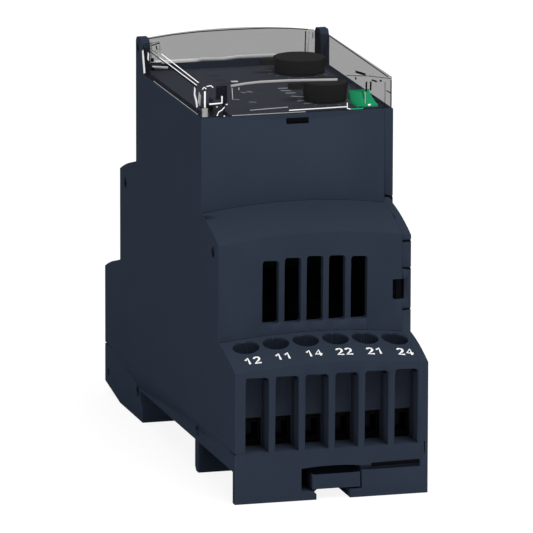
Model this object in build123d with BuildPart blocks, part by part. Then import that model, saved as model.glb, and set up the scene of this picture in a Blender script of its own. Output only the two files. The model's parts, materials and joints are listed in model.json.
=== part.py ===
"""Current monitoring relay for a 35 mm mounting rail, in millimetres.

It stands on its back: X is the width along the rail, Y the height across the rail,
and Z the depth, from the rail feet at z = 0 to the clear cover.
"""
from build123d import *
from math import sqrt
import os

# Casing: outline of one side, from the terminal face up to the nose
body_width = 35.0
body_height = 90.0
wall = 1.6
seam_z = 9.05
terminal_edge_z = 23.4
vent_height = 68.0
vent_foot_z = 26.5
vent_edge_z = 43.83
nose_height = 45.0
nose_foot_z = 47.19
rim_z = 64.15
shoulder_bulge = 0.42
upper_crown = 1.5
lower_crown = 1.2

# Openings of the casing
vent_count = 5
vent_pitch = 4.02
vent_width = 3.0
vent_low_z = 29.35
vent_high_z = 40.6
vent_arch = 0.45
corner_cut = 0.4
terminal_count = 6
terminal_side_gap = 0.4
entry_width = 4.2
entry_top_z = 22.45
entry_depth = 4.5
slot_width = 4.06
slot_height = 1.0
slot_z = 62.9
pin_hole_places = ((30.1, 41.95), (-30.3, 41.95))
pin_hole_diameter = 2.0

# Seam of the side cover, with its snap window and relief grooves
window_low_z = 32.42
window_height = 3.57
window_reach = 1.3
window_side = 0.4
hook_clearance = 0.25
groove_levels = (42.9, 37.97, 30.6)
nose_groove_z = 48.4
groove_size = 0.3

# Rail base
foot_wall = 1.5
seat_z = 5.6
base_plate = 1.65
channel_low_y = -18.4
channel_wall = 2.4
hook_y = 18.0
hook_undercut = 1.6
hook_lip_z = 2.2
hook_throat_z = 4.4
hook_wall = 3.6
far_flat_y = 34.2
far_rise = 1.8
standoff_width = 4.4
base_holes = ((42.5, 3.9, 1.45), (21.4, 5.1, 2.1), (-19.95, 7.65, 2.3))
tick_size = 0.25

# Rail clip
clip_left = -3.45
clip_right = 5.2
clip_low_z = 1.9
clip_thickness = 2.6
clip_tab_depth = 5.0
clip_nose_reach = 2.9
clip_gap = 0.3
clip_travel = 3.5
wing_reach = 1.7
wing_length = 12.0
ledge_gap_left = -2.72
ledge_gap_right = 3.36
ledge_height = 1.55
guide_wall = 1.4
scoop_radius = 3.4
scoop_depth = 0.9
lug_length = 1.6
spring_length = 8.4
spring_width = 3.4
spring_fold_reach = 0.43
spring_strip_width = 2.0
spring_folds = 6
groove_end_gap = 1.42
groove_right_height = 0.8

# Terminals
screw_inset = 7.3
screw_head_diameter = 4.3
screw_head_height = 2.0
screw_shank_diameter = 2.9
flat_count = 8
screw_slot = 0.8
screw_slot_depth = 1.1
bore_diameter = 4.7
running_gap = 0.05
carrier_gap = 0.1
carrier_step = 1.0
carrier_web = 0.55
carrier_back = 12.0
throat_height = 5.3
cage_width = 4.0
cage_length = 3.8
cage_wall = 0.5
cage_floor = 0.95
cage_roof = 1.6
cage_travel = 3.0
cage_gap = 0.2
cage_spare = 0.8
bar_width = 2.6
bar_thickness = 1.0
bar_reach = 4.0

# Front plate, knobs and button
plate_thickness = 1.5
plate_gap = 0.1
ledge_width = 1.0
knob_gap = 0.15
knob_height = 2.35
shaft_diameter = 4.0
shaft_length = 3.1
pointer_reach = 2.9
pointer_width = 2.2
pointer_height = 1.1
value_knob_diameter = 9.0
value_knob_side_gap = 0.9
value_knob_end_gap = 4.7
delay_knob_diameter = 7.6
delay_knob_side_gap = 0.15
delay_knob_end_gap = 6.4
button_width = 3.75
button_side_gap = 0.3
button_length = 6.4
button_end_gap = 2.8
button_lift = 0.25
button_rise = 1.6
button_travel = 0.8
button_gap = 0.2
button_skirt = 2.4
button_flange = 0.6
light_guide_width = 1.8
light_guide_x = -5.2
light_guide_places = (14.0, 10.0, 6.0)
seal_width = 3.6
seal_side_gap = 0.6
seal_length = 8.6
seal_end_gap = 2.2
seal_depth = 0.9
seal_lug_height = 3.4
seal_hole_diameter = 1.4

# Clear cover and its hinge
cover_wall = 1.2
cover_gap = 0.1
cover_lift = 0.15
cover_edge_z = 69.75
cover_crown = 1.3
pivot_inset = 1.4
pivot_z = 68.6
pin_diameter = 1.6
post_depth = 4.1
post_top = 2.0
post_gap = 0.3
far_lip_z = 66.0
upstand_height = 1.25

# Boards and components
board_thickness = 1.6
board_gap = 0.7
front_board_z = 58.4
bar_clearance = 2.2
relay_size = (10.0, 28.0, 15.0)
relay_gap = 1.5
transformer_width = 16.0
transformer_height = 14.0
riser_inset = 5.9
transformer_gap = 1.8
capacitor_diameter = 9.5
capacitor_height = 17.0
capacitor_spacing = 14.0
capacitor_z = 40.0
peg_width = 2.4
peg_inset = 2.7
peg_end_gap = 4.3
peg_button_gap = 1.35
pot_size = 6.6

# Sizes that follow from those above
half_width = body_width / 2
half_height = body_height / 2
vent_face = vent_height / 2
nose_face = nose_height / 2
cover_plane_x = half_width - wall
screw_y = half_height - screw_inset
entry_back = half_height - entry_depth
terminal_pitch = (2 * (cover_plane_x - terminal_side_gap) - cage_width) / (terminal_count - 1)
terminal_x = [(i - (terminal_count - 1) / 2) * terminal_pitch for i in range(terminal_count)]
carrier_low_top = entry_top_z - carrier_step
carrier_high_top = entry_top_z
chamber_width = cage_width + 2 * cage_gap
chamber_length = cage_length + 2 * cage_gap
web_hole = screw_shank_diameter + 2 * cage_gap
web_low_z = seam_z + cage_gap + cage_floor + cage_roof + bar_thickness + 2 * cage_travel + cage_spare
head_seat_z = web_low_z + carrier_web
bar_low_z = seam_z + 2 * cage_gap + cage_floor + cage_travel
bar_top_z = bar_low_z + bar_thickness
base_board_z = bar_low_z - board_thickness
cage_low_z = seam_z + cage_gap
cage_high_z = bar_top_z + cage_gap + cage_roof
plate_top_z = rim_z
plate_low_z = plate_top_z - plate_thickness
pivot_y = nose_face - pivot_inset
post_low_y = nose_face - post_depth
post_radius = pivot_y - post_low_y
clip_high_z = clip_low_z + clip_thickness
channel_foot_y = channel_low_y - channel_wall
front_pocket_y = -half_height + foot_wall
pocket_top_z = seam_z - base_plate
bar_tail_y = half_height - carrier_back - bar_reach
riser_y = nose_face - wall - riser_inset
transformer_length = bar_tail_y - bar_clearance - riser_y - transformer_gap
value_knob_x = cover_plane_x - value_knob_side_gap - value_knob_diameter / 2
value_knob_y = nose_face - value_knob_end_gap - value_knob_diameter / 2
button_low_x = cover_plane_x - button_side_gap - button_width
button_low_y = -nose_face + button_end_gap
delay_knob_x = button_low_x - delay_knob_side_gap - delay_knob_diameter / 2
delay_knob_y = -nose_face + delay_knob_end_gap + delay_knob_diameter / 2
seal_left_x = seal_side_gap - cover_plane_x
seal_low_y = -nose_face + seal_end_gap
peg_x = cover_plane_x - peg_inset
peg_y = nose_face - peg_end_gap
peg_places = (
    (-peg_x, peg_y),
    (peg_x, peg_y),
    (-peg_x, -peg_y),
    (button_low_x - peg_button_gap - peg_width / 2, -peg_y),
)

os.makedirs("parts", exist_ok=True)


def save(part, name):
    """Label one finished piece and write it to its own file."""
    part.label = name
    export_step(part, f"parts/{name}.step")


def crown_axis(edge_z, crown, half):
    """Height of the axis along Y about which a crowned face is turned."""
    return edge_z - (half**2 - crown**2) / (2 * crown)


def crowned_shoulder(start_y, start_z, end_y, end_z, crown):
    """One convex shoulder, crowned across the width, on the side of negative Y."""
    axis_z = crown_axis(end_z, crown, half_width)
    start_top = axis_z + sqrt((start_z - axis_z) ** 2 + half_width**2)
    end_top = axis_z + sqrt((end_z - axis_z) ** 2 + half_width**2)
    middle = (-(start_y + end_y) / 2, (start_top + end_top) / 2 + shoulder_bulge)
    with BuildPart() as shoulder:
        with BuildSketch(Plane.YZ):
            with BuildLine():
                Polyline(
                    (-end_y, end_top), (-end_y, seam_z), (0, seam_z), (0, start_top), (-start_y, start_top)
                )
                ThreePointArc((-start_y, start_top), middle, (-end_y, end_top))
            make_face()
        revolve(axis=Axis((0, 0, axis_z), (0, 1, 0)), revolution_arc=360)
        with Locations((0, 0, seam_z)):
            Box(
                body_width,
                body_height,
                rim_z,
                align=(Align.CENTER, Align.CENTER, Align.MIN),
                mode=Mode.INTERSECT,
            )
    return shoulder.part


def outer_casing():
    """The filled casing above the base, stepped in towards the nose at both ends."""
    with BuildPart() as casing:
        with Locations((0, 0, seam_z)):
            Box(
                body_width,
                nose_height,
                rim_z - seam_z,
                align=(Align.CENTER, Align.CENTER, Align.MIN),
            )
        add(crowned_shoulder(nose_face, nose_foot_z, vent_face, vent_edge_z, upper_crown))
        add(crowned_shoulder(vent_face, vent_foot_z, half_height, terminal_edge_z, lower_crown))
        mirror(about=Plane.XZ)
    return casing.part


def casing_hollow():
    """The hollow inside the casing: its stepped outline drawn in by the wall."""
    with BuildPart() as hollow:
        with BuildSketch(Plane.YZ.offset(-cover_plane_x)):
            with BuildLine():
                Polyline(
                    (0, seam_z),
                    (half_height - wall, seam_z),
                    (half_height - wall, terminal_edge_z - wall),
                    (vent_face - wall, vent_foot_z - wall),
                    (vent_face - wall, vent_edge_z - wall),
                    (nose_face - wall, nose_foot_z - wall),
                    (nose_face - wall, rim_z),
                    (0, rim_z),
                    close=True,
                )
            make_face()
        extrude(amount=2 * cover_plane_x)
        mirror(about=Plane.XZ)
    return hollow.part


def terminal_entries(end):
    """Solid of the six wire entries of one end, as they are cut from the casing."""
    with BuildPart() as entries:
        with BuildSketch(Plane.XZ.offset(half_height)):
            for x in terminal_x:
                with Locations((x, (entry_top_z + seam_z) / 2)):
                    Rectangle(entry_width, entry_top_z - seam_z)
        extrude(amount=-entry_depth)
        chamfer(entries.edges().filter_by(Axis.Y).group_by(Axis.Z)[-1], corner_cut)
        if end > 0:
            mirror(about=Plane.XZ)
            with Locations((0, -half_height, 0)):
                Box(body_width, body_height, 3 * rim_z, mode=Mode.SUBTRACT)
    return entries.part


def vents(end):
    """Solid of the vent slots of one end, with tops that follow the crown."""
    with BuildPart() as slots:
        with BuildSketch(Plane.XZ.offset(vent_face + wall)) as outline:
            for i in range(vent_count):
                x = (i - (vent_count - 1) / 2) * vent_pitch
                share = abs(x) / (vent_pitch * (vent_count - 1) / 2)
                high = vent_high_z + vent_arch * (1 - share**2)
                with Locations((x, (vent_low_z + high) / 2)):
                    Rectangle(vent_width, high - vent_low_z)
            chamfer(outline.vertices(), corner_cut)
        extrude(amount=-3 * wall)
        if end > 0:
            mirror(about=Plane.XZ)
            with Locations((0, -half_height, 0)):
                Box(body_width, body_height, 3 * rim_z, mode=Mode.SUBTRACT)
    return slots.part


def hinge_posts():
    """Two upright ears at the far corners, each rounded about the hinge pin."""
    low = pivot_y - post_radius
    with BuildPart() as posts:
        with BuildSketch(Plane.YZ.offset(half_width)):
            with BuildLine():
                Polyline((low, pivot_z), (low, rim_z), (nose_face, rim_z), (nose_face, pivot_z))
                Line((nose_face, pivot_z), (nose_face, pivot_z + post_top - pivot_inset))
                RadiusArc(
                    (nose_face, pivot_z + post_top - pivot_inset),
                    (pivot_y, pivot_z + post_top),
                    -pivot_inset,
                )
                reach = sqrt(post_radius**2 - post_top**2)
                Line((pivot_y, pivot_z + post_top), (pivot_y - reach, pivot_z + post_top))
                RadiusArc((pivot_y - reach, pivot_z + post_top), (low, pivot_z), -post_radius)
            make_face()
        extrude(amount=-wall)
        with Locations(Location((half_width, pivot_y, pivot_z), (0, 90, 0))):
            Hole(pin_diameter / 2 + running_gap, depth=3 * wall)
        mirror(about=Plane.YZ)
    return posts.part


def casing_shell():
    """The hollow casing with both sides on it, before the right side is parted off."""
    bores = [(x, end * screw_y) for x in terminal_x for end in (-1, 1)]
    with BuildPart() as shell:
        add(outer_casing())
        add(casing_hollow(), mode=Mode.SUBTRACT)
        add(hinge_posts())
        with Locations((0, nose_face - wall / 2, rim_z)):
            Box(
                body_width - 2 * wall,
                wall,
                upstand_height,
                align=(Align.CENTER, Align.CENTER, Align.MIN),
            )
        ledge_z = plate_low_z
        for y in (-nose_face + wall, nose_face - wall):
            with BuildSketch(Plane.XY.offset(ledge_z)):
                with Locations((0, y)):
                    Rectangle(body_width - 2 * wall, 2 * ledge_width)
            extrude(amount=-ledge_width)
        add(terminal_entries(-1), mode=Mode.SUBTRACT)
        add(terminal_entries(1), mode=Mode.SUBTRACT)
        add(vents(-1), mode=Mode.SUBTRACT)
        add(vents(1), mode=Mode.SUBTRACT)
        with BuildSketch(Plane.XY.offset(vent_foot_z + lower_crown + wall)):
            with Locations(*bores):
                Circle(bore_diameter / 2)
        extrude(amount=-(vent_foot_z + lower_crown + wall - carrier_low_top), mode=Mode.SUBTRACT)
        with Locations((0, -nose_face, slot_z)):
            Box(slot_width, 3 * wall, slot_height, mode=Mode.SUBTRACT)
        with Locations((cover_plane_x - window_reach / 2, -vent_face, window_low_z + window_height / 2)):
            Box(window_reach + 2 * window_side, 3 * wall, window_height, mode=Mode.SUBTRACT)
    return shell.part


whole_shell = casing_shell()

with BuildPart() as main_housing:
    add(whole_shell)
    split(bisect_by=Plane.YZ.offset(cover_plane_x), keep=Keep.BOTTOM)
    for y, z in pin_hole_places:
        with Locations(Location((-half_width, y, z), (0, 90, 0))):
            Hole(pin_hole_diameter / 2, depth=wall)
save(main_housing.part, "main_housing")

with BuildPart() as side_cover:
    add(whole_shell)
    split(bisect_by=Plane.YZ.offset(cover_plane_x), keep=Keep.TOP)
    hook_low_z = window_low_z + hook_clearance
    hook_high_z = window_low_z + window_height - hook_clearance
    hook_inner_y = -vent_face + wall + hook_clearance
    with BuildSketch(Plane.XY.offset(hook_low_z)):
        with BuildLine():
            Polyline(
                (cover_plane_x, hook_inner_y + wall / 2),
                (cover_plane_x, hook_inner_y - wall),
                (cover_plane_x - window_reach / 3, hook_inner_y - wall),
                (cover_plane_x - window_reach, hook_inner_y),
                (cover_plane_x - window_reach, hook_inner_y + wall / 2),
                close=True,
            )
        make_face()
    extrude(amount=hook_high_z - hook_low_z)
    grooves = [(half_width, -vent_face, level) for level in groove_levels]
    grooves.append((half_width, -nose_face, nose_groove_z))
    with Locations(*grooves):
        Box(2 * wall, 2 * groove_size, groove_size, mode=Mode.SUBTRACT)
save(side_cover.part, "side_cover")


def base_outline():
    """Side outline of the rail base: front foot, channel wall, rail seat and fixed hook."""
    lip_y = hook_y + hook_wall
    with BuildSketch(Plane.YZ.offset(-half_width)) as outline:
        with BuildLine():
            Polyline(
                (-half_height, seam_z),
                (-half_height, 0),
                (front_pocket_y, 0),
                (front_pocket_y, seat_z),
                (channel_foot_y, seat_z),
                (channel_foot_y, 0),
                (channel_low_y - channel_wall / 3, 0),
                (channel_low_y, channel_wall / 3),
                (channel_low_y, seat_z),
                (hook_y + hook_undercut, seat_z),
                (hook_y + hook_undercut, hook_throat_z),
                (hook_y, hook_lip_z),
                (hook_y, 0),
                (far_flat_y, 0),
                (half_height, far_rise),
                (half_height, seam_z),
                close=True,
            )
        make_face()
    return outline.sketch, lip_y


with BuildPart() as rail_base:
    outline, lip_y = base_outline()
    extrude(outline, amount=body_width)
    inner = body_width - 2 * wall
    for low_y, high_y in (
        (front_pocket_y, channel_foot_y),
        (channel_low_y, hook_y - hook_undercut),
        (lip_y, half_height - wall),
    ):
        with Locations((0, (low_y + high_y) / 2, 0)):
            Box(
                inner,
                high_y - low_y,
                pocket_top_z,
                align=(Align.CENTER, Align.CENTER, Align.MIN),
                mode=Mode.SUBTRACT,
            )
    guide_length = channel_foot_y - front_pocket_y
    for side, window_x, ledge_x in (
        (-1, clip_left - clip_gap - wing_reach, ledge_gap_left),
        (1, clip_right + clip_gap, ledge_gap_right),
    ):
        with BuildSketch(Plane.XZ.offset(-channel_foot_y)):
            with BuildLine():
                Polyline(
                    (ledge_x, 0),
                    (window_x + side * guide_wall, 0),
                    (window_x + side * guide_wall, pocket_top_z),
                    (window_x, pocket_top_z),
                    (window_x, ledge_height),
                    (ledge_x - side * ledge_height / 3, ledge_height),
                    (ledge_x, ledge_height * 2 / 3),
                    close=True,
                )
            make_face()
        extrude(amount=guide_length + foot_wall)
    window_left = clip_left - clip_gap - wing_reach
    window_right = clip_right + clip_gap
    window_high_z = clip_high_z + scoop_depth + clip_gap
    with BuildSketch(Plane.XZ.offset(half_height)):
        with BuildLine():
            Polyline(
                (window_left, window_high_z),
                (window_left, ledge_height),
                (ledge_gap_left - ledge_height / 3, ledge_height),
                (ledge_gap_left, ledge_height * 2 / 3),
                (ledge_gap_left, 0),
                (ledge_gap_right, 0),
                (ledge_gap_right, ledge_height),
                (window_right, ledge_height),
                (window_right, window_high_z),
            )
            ThreePointArc(
                (window_right, window_high_z),
                ((window_left + window_right) / 2, window_high_z + clip_gap),
                (window_left, window_high_z),
            )
        make_face()
    extrude(amount=-foot_wall, mode=Mode.SUBTRACT)
    groove_right_x = half_width - groove_end_gap
    groove_x = (window_right + groove_right_x) / 2
    with Locations((groove_x, -half_height, seat_z - groove_right_height / 2)):
        Box(groove_right_x - window_right, foot_wall, groove_right_height, mode=Mode.SUBTRACT)
    clip_middle_x = (clip_left + clip_right) / 2
    with Locations((clip_middle_x, channel_low_y - channel_wall / 2, clip_low_z - clip_gap)):
        Box(
            clip_right - clip_left + 2 * clip_gap,
            2 * channel_wall,
            clip_thickness + 2 * clip_gap,
            align=(Align.CENTER, Align.CENTER, Align.MIN),
            mode=Mode.SUBTRACT,
        )
    lug_y = channel_foot_y - spring_length - lug_length / 2 - clip_gap
    with Locations(((clip_left + clip_right) / 2, lug_y, pocket_top_z)):
        Box(
            spring_width,
            lug_length,
            pocket_top_z - clip_low_z - clip_gap,
            align=(Align.CENTER, Align.CENTER, Align.MAX),
        )
    with BuildSketch(Plane.XY.offset(seam_z)):
        with GridLocations(0.7 * body_width, 0.5 * body_height, 2, 2):
            Rectangle(standoff_width, standoff_width)
    extrude(amount=base_board_z - seam_z)
    for y, z, diameter in base_holes:
        with Locations(Location((-half_width, y, z), (0, 90, 0))):
            Hole(diameter / 2, depth=wall)
    for y in (-half_height, half_height):
        with Locations((-half_width, y, seam_z)):
            Box(2 * tick_size, 4 * wall, 2 * tick_size, mode=Mode.SUBTRACT)
save(rail_base.part, "rail_base")

with BuildPart() as rail_clip:
    clip_width = clip_right - clip_left
    clip_x = (clip_left + clip_right) / 2
    nose_y = channel_low_y + clip_nose_reach
    with BuildSketch(Plane.YZ.offset(clip_left)):
        with BuildLine():
            Polyline(
                (-half_height, clip_low_z),
                (-half_height, clip_high_z),
                (nose_y, clip_high_z),
                (nose_y, clip_high_z - clip_thickness / 3),
                (channel_low_y, clip_low_z),
                close=True,
            )
        make_face()
    extrude(amount=clip_width)
    wing_low_y = -half_height + clip_tab_depth + clip_travel
    with BuildSketch(Plane.XY.offset(clip_low_z)):
        with Locations((clip_left - wing_reach / 2, wing_low_y + wing_length / 2)):
            Rectangle(wing_reach, wing_length)
    extrude(amount=clip_thickness / 2)
    with BuildSketch(Plane.YZ.offset(clip_x)):
        with Locations((-half_height + clip_tab_depth / 2, clip_high_z - scoop_depth + scoop_radius)):
            Circle(scoop_radius)
    extrude(amount=clip_width / 2 - clip_gap, both=True, mode=Mode.SUBTRACT)
    window_low_y = channel_foot_y - spring_length - lug_length - 2 * clip_gap
    with Locations((clip_x, (window_low_y + channel_foot_y) / 2, clip_low_z)):
        Box(
            spring_width + 2 * clip_gap,
            channel_foot_y - window_low_y,
            3 * clip_thickness,
            mode=Mode.SUBTRACT,
        )
save(rail_clip.part, "rail_clip")

with BuildPart() as clip_spring:
    zigzag = []
    for i in range(spring_folds + 1):
        side = -1 if i % 2 else 1
        fold_x = clip_x + side * (spring_width / 2 - spring_fold_reach)
        zigzag.append((fold_x, channel_foot_y - spring_length * (1 - i / spring_folds)))
    left_edge = [(x - spring_fold_reach, y) for x, y in zigzag]
    right_edge = [(x + spring_fold_reach, y) for x, y in reversed(zigzag)]
    with BuildSketch(Plane.XY.offset(clip_low_z + (clip_thickness - spring_strip_width) / 2)):
        Polygon(*left_edge, *right_edge, align=None)
    extrude(amount=spring_strip_width)
save(clip_spring.part, "clip_spring")


def terminal_carrier(end):
    """Moulded block behind one terminal face: chambers, screw bores and bar slots."""
    low_y = -half_height + wall + carrier_gap
    high_y = -half_height + carrier_back
    step_y = -entry_back
    wide = 2 * (cover_plane_x - carrier_gap)
    with BuildPart() as carrier:
        with BuildSketch(Plane.YZ.offset(-wide / 2)):
            Polygon(
                (low_y, seam_z),
                (high_y, seam_z),
                (high_y, carrier_high_top),
                (step_y, carrier_high_top),
                (step_y, carrier_low_top),
                (low_y, carrier_low_top),
                align=None,
            )
        extrude(amount=wide)
        for x in terminal_x:
            with Locations((x, (low_y + step_y) / 2, seam_z)):
                Box(
                    entry_width,
                    step_y - low_y,
                    carrier_high_top,
                    align=(Align.CENTER, Align.CENTER, Align.MIN),
                    mode=Mode.SUBTRACT,
                )
            with Locations((x, step_y, seam_z)):
                Box(
                    cage_width,
                    chamber_length,
                    throat_height,
                    align=(Align.CENTER, Align.CENTER, Align.MIN),
                    mode=Mode.SUBTRACT,
                )
            with Locations((x, -screw_y, seam_z)):
                Box(
                    chamber_width,
                    chamber_length,
                    web_low_z - seam_z,
                    align=(Align.CENTER, Align.CENTER, Align.MIN),
                    mode=Mode.SUBTRACT,
                )
            with Locations((x, high_y, bar_low_z - running_gap)):
                Box(
                    bar_width + 2 * carrier_gap,
                    2 * (high_y + screw_y),
                    bar_thickness + 2 * running_gap,
                    align=(Align.CENTER, Align.CENTER, Align.MIN),
                    mode=Mode.SUBTRACT,
                )
        with BuildSketch(Plane.XY.offset(seam_z)):
            with Locations(*[(x, -screw_y) for x in terminal_x]):
                Rectangle(web_hole, web_hole)
        extrude(amount=carrier_high_top - seam_z, mode=Mode.SUBTRACT)
        with BuildSketch(Plane.XY.offset(head_seat_z)):
            with Locations(*[(x, -screw_y) for x in terminal_x]):
                Rectangle(bore_diameter, bore_diameter)
        extrude(amount=carrier_high_top - head_seat_z, mode=Mode.SUBTRACT)
        if end > 0:
            mirror(about=Plane.XZ)
            with Locations((0, -half_height, 0)):
                Box(2 * body_width, body_height, 3 * rim_z, mode=Mode.SUBTRACT)
    return carrier.part


def contact_bars(end):
    """Six current bars of one end, from the clamp chambers to the base board."""
    tip_y = -screw_y - cage_length / 2 - cage_gap / 2
    with BuildPart() as bars:
        for x in terminal_x:
            with Locations((x, end * (bar_tail_y - tip_y) / 2, bar_low_z)):
                Box(
                    bar_width,
                    -bar_tail_y - tip_y,
                    bar_thickness,
                    align=(Align.CENTER, Align.CENTER, Align.MIN),
                )
    return bars.part


def terminal_screw(x, y):
    """Captive slotted screw, its tip on the contact bar and its thread cut down to flats."""
    with BuildPart() as screw:
        with BuildSketch(Plane.XY.offset(bar_top_z + running_gap)):
            with Locations((x, y)):
                RegularPolygon(screw_shank_diameter / 2, flat_count)
        extrude(amount=head_seat_z - bar_top_z)
        with BuildSketch(Plane.XY.offset(head_seat_z + running_gap)):
            with Locations((x, y)):
                Circle(screw_head_diameter / 2)
        extrude(amount=screw_head_height)
        with Locations((x, y, head_seat_z + running_gap + screw_head_height)):
            Box(screw_head_diameter, screw_slot, 2 * screw_slot_depth, mode=Mode.SUBTRACT)
    return screw.part


def clamp_cage(x, y):
    """Rising clamp: a square loop round the contact bar, threaded on its screw."""
    with BuildPart() as cage:
        with Locations((x, y, cage_low_z)):
            Box(
                cage_width,
                cage_length,
                cage_high_z - cage_low_z,
                align=(Align.CENTER, Align.CENTER, Align.MIN),
            )
        with Locations((x, y, cage_low_z + cage_floor)):
            Box(
                cage_width - 2 * cage_wall,
                2 * cage_length,
                cage_high_z - cage_low_z - cage_floor - cage_roof,
                align=(Align.CENTER, Align.CENTER, Align.MIN),
                mode=Mode.SUBTRACT,
            )
        with BuildSketch(Plane.XY.offset(cage_high_z)):
            with Locations((x, y)):
                RegularPolygon(screw_shank_diameter / 2 + running_gap, flat_count, major_radius=False)
        extrude(amount=-cage_roof, mode=Mode.SUBTRACT)
    return cage.part


for end, end_name in ((-1, "output"), (1, "input")):
    save(terminal_carrier(end), f"{end_name}_terminal_carrier")
    save(contact_bars(end), f"{end_name}_contact_bars")
    for number, x in enumerate(terminal_x, start=1):
        save(terminal_screw(x, end * screw_y), f"{end_name}_terminal_screw_{number}")
        save(clamp_cage(x, end * screw_y), f"{end_name}_clamp_cage_{number}")

knobs = (
    ("value_knob", value_knob_x, value_knob_y, value_knob_diameter),
    ("delay_knob", delay_knob_x, delay_knob_y, delay_knob_diameter),
)

with BuildPart() as front_plate:
    with Locations((0, 0, plate_low_z)):
        Box(
            2 * (cover_plane_x - plate_gap),
            2 * (nose_face - wall - plate_gap),
            plate_thickness,
            align=(Align.CENTER, Align.CENTER, Align.MIN),
        )
    for name, x, y, diameter in knobs:
        with Locations((x, y, plate_top_z)):
            Hole(shaft_diameter / 2 + running_gap, depth=2 * plate_thickness)
    with Locations(*[(light_guide_x, y, plate_top_z) for y in light_guide_places]):
        guide_window = light_guide_width + 2 * running_gap
        Box(guide_window, guide_window, 3 * plate_thickness, mode=Mode.SUBTRACT)
    button_x = button_low_x + button_width / 2
    button_y = button_low_y + button_length / 2
    with Locations((button_low_x - button_gap, button_y, plate_low_z)):
        Box(
            half_width,
            button_length + 2 * button_gap,
            3 * plate_thickness,
            align=(Align.MIN, Align.CENTER, Align.CENTER),
            mode=Mode.SUBTRACT,
        )
    seal_x = seal_left_x + seal_width / 2
    seal_y = seal_low_y + seal_length / 2
    with Locations((seal_x, seal_y, plate_top_z)):
        Box(seal_width, seal_length, 2 * seal_depth, mode=Mode.SUBTRACT)
    lug_base_z = plate_top_z - seal_depth
    with BuildSketch(Plane.YZ.offset(seal_x - wall / 2)):
        with Locations((seal_low_y + seal_length / 3, lug_base_z + seal_lug_height / 2)):
            RectangleRounded(2 * wall, seal_lug_height, wall / 2)
            Circle(seal_hole_diameter / 2, mode=Mode.SUBTRACT)
    extrude(amount=wall)
    with BuildSketch(Plane.XY.offset(plate_low_z)):
        with Locations(*peg_places):
            Rectangle(peg_width, peg_width)
    extrude(amount=front_board_z + board_thickness - plate_low_z)
save(front_plate.part, "front_plate")


def knob(x, y, diameter):
    """Turned knob with a pointer towards negative X and a shaft through the plate."""
    low_z = plate_top_z + knob_gap
    with BuildPart() as turned:
        with BuildSketch(Plane.XY.offset(low_z)):
            with Locations((x, y)):
                Circle(diameter / 2)
        extrude(amount=knob_height)
        chamfer(turned.faces().sort_by(Axis.Z).last.edges(), knob_gap)
        with BuildSketch(Plane.XY.offset(low_z + knob_height - pointer_height)):
            with BuildLine():
                tip_x = x - diameter / 2 - pointer_reach
                Polyline(
                    (x, y - pointer_width / 2),
                    (tip_x + pointer_width / 2, y - pointer_width / 2),
                    (tip_x, y),
                    (tip_x + pointer_width / 2, y + pointer_width / 2),
                    (x, y + pointer_width / 2),
                    close=True,
                )
            make_face()
        extrude(amount=pointer_height)
        with BuildSketch(Plane.XY.offset(low_z)):
            with Locations((x, y)):
                Circle(shaft_diameter / 2)
        extrude(amount=-shaft_length)
    return turned.part


for name, x, y, diameter in knobs:
    save(knob(x, y, diameter), name)

with BuildPart() as potentiometers:
    front_board_top = front_board_z + board_thickness
    pot_top_z = plate_low_z - plate_gap
    for name, x, y, diameter in knobs:
        with Locations((x, y, front_board_top)):
            Box(
                pot_size,
                pot_size,
                pot_top_z - front_board_top,
                align=(Align.CENTER, Align.CENTER, Align.MIN),
            )
        with Locations((x, y, pot_top_z)):
            Box(
                shaft_diameter + 2 * running_gap,
                shaft_diameter + 2 * running_gap,
                2 * (pot_top_z - front_board_top - knob_gap),
                mode=Mode.SUBTRACT,
            )
save(potentiometers.part, "potentiometers")

with BuildPart() as diagnosis_button:
    skirt_z = plate_top_z - button_skirt
    ramp_low_z = plate_top_z + button_lift
    with BuildSketch(Plane.YZ.offset(button_low_x)):
        with BuildLine():
            Polyline(
                (button_low_y, ramp_low_z),
                (button_low_y, skirt_z),
                (button_low_y + button_length, skirt_z),
                (button_low_y + button_length, ramp_low_z + button_rise),
                (button_low_y + button_length - button_gap, ramp_low_z + button_rise),
            )
            ThreePointArc(
                (button_low_y + button_length - button_gap, ramp_low_z + button_rise),
                (button_low_y + button_length * 0.55, ramp_low_z + button_rise * 0.3),
                (button_low_y, ramp_low_z),
            )
        make_face()
    extrude(amount=button_width)
    with Locations((button_low_x, button_y, skirt_z)):
        Box(
            2 * button_flange,
            button_length,
            plate_low_z - skirt_z - button_gap,
            align=(Align.CENTER, Align.CENTER, Align.MIN),
        )
save(diagnosis_button.part, "diagnosis_button")

with BuildPart() as button_switch:
    switch_top_z = skirt_z - button_travel - knob_gap
    with Locations((button_x, button_y, front_board_top)):
        Box(
            button_width,
            button_length * 0.7,
            switch_top_z - front_board_top,
            align=(Align.CENTER, Align.CENTER, Align.MIN),
        )
save(button_switch.part, "button_switch")

with BuildPart() as light_guides:
    with BuildSketch(Plane.XY.offset(front_board_top + board_thickness / 2)):
        with Locations(*[(light_guide_x, y) for y in light_guide_places]):
            Rectangle(light_guide_width, light_guide_width)
    extrude(amount=plate_top_z - front_board_top - board_thickness / 2)
save(light_guides.part, "light_guides")

with BuildPart() as indicator_lamps:
    for y in light_guide_places:
        with Locations((light_guide_x, y, front_board_top)):
            Box(
                light_guide_width,
                light_guide_width,
                board_thickness / 2,
                align=(Align.CENTER, Align.CENTER, Align.MIN),
            )
save(indicator_lamps.part, "indicator_lamps")

cover_half = half_width - cover_gap


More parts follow.
